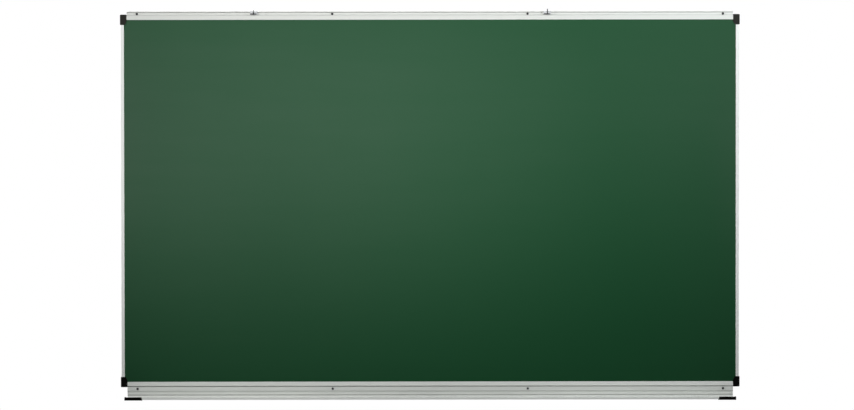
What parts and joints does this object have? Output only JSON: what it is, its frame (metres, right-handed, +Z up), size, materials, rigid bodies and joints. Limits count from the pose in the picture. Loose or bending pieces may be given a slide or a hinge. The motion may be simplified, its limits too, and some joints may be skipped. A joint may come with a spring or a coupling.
{
  "type": "school chalkboard",
  "caption": "Wall-hung green chalkboard with a slim aluminium frame, black corner caps, a chalk tray with end caps and sliding map hooks on a beaded top flange.",
  "frame": {"origin": "middle of the top rail's back face, on the wall plane", "axes": "+X to the right of someone who faces the board, +Y into the wall, +Z up; the writing face looks along -Y"},
  "size_m": [1.5078, 0.065, 0.9484],
  "materials": {
    "board_green": "matt green writing coat on steel sheet",
    "fibre_core": "raw pressed fibre board",
    "zinc_sheet": "zinc-coated sheet steel",
    "silver_anodised": "silver anodised extrusion, satin",
    "black_plastic": "black moulded plastic, fine grain",
    "screw_steel": "dark plated steel",
    "dark_steel": "dark steel wire and bar"
  },
  "bodies": {
    "board": {"back_sheet": "zinc_sheet", "core_board": "fibre_core", "face_sheet": "board_green", "top_rail": "silver_anodised", "bottom_rail": "silver_anodised", "left_stile": "silver_anodised", "right_stile": "silver_anodised", "corner_cap_top_left": "black_plastic", "corner_cap_top_right": "black_plastic", "corner_cap_bottom_left": "black_plastic", "corner_cap_bottom_right": "black_plastic", "corner_screw_top_left": "screw_steel", "corner_screw_top_right": "screw_steel", "corner_screw_bottom_left": "screw_steel", "corner_screw_bottom_right": "screw_steel", "wall_bracket_1": "zinc_sheet", "wall_bracket_2": "zinc_sheet", "wall_bracket_3": "zinc_sheet", "wall_bracket_4": "zinc_sheet", "top_screw_1": "screw_steel", "top_screw_2": "screw_steel", "top_screw_3": "screw_steel", "top_screw_4": "screw_steel", "tray_screw_1": "screw_steel", "tray_screw_2": "screw_steel", "tray_screw_3": "screw_steel", "tray_screw_4": "screw_steel", "chalk_tray": "silver_anodised", "tray_cap_left": "black_plastic", "tray_cap_right": "black_plastic"},
    "left_hook": {"left_hook_clip": "zinc_sheet", "left_hook_prong": "dark_steel"},
    "right_hook": {"right_hook_clip": "zinc_sheet", "right_hook_prong": "dark_steel"}
  },
  "joints": [
    {"name": "left_hook_slide", "type": "slide", "parent": "board", "child": "left_hook", "axis": [1, 0, 0], "range_m": [-0.267, 0.172]},
    {"name": "right_hook_slide", "type": "slide", "parent": "board", "child": "right_hook", "axis": [1, 0, 0], "range_m": [-0.029, 0.41]}
  ]
}
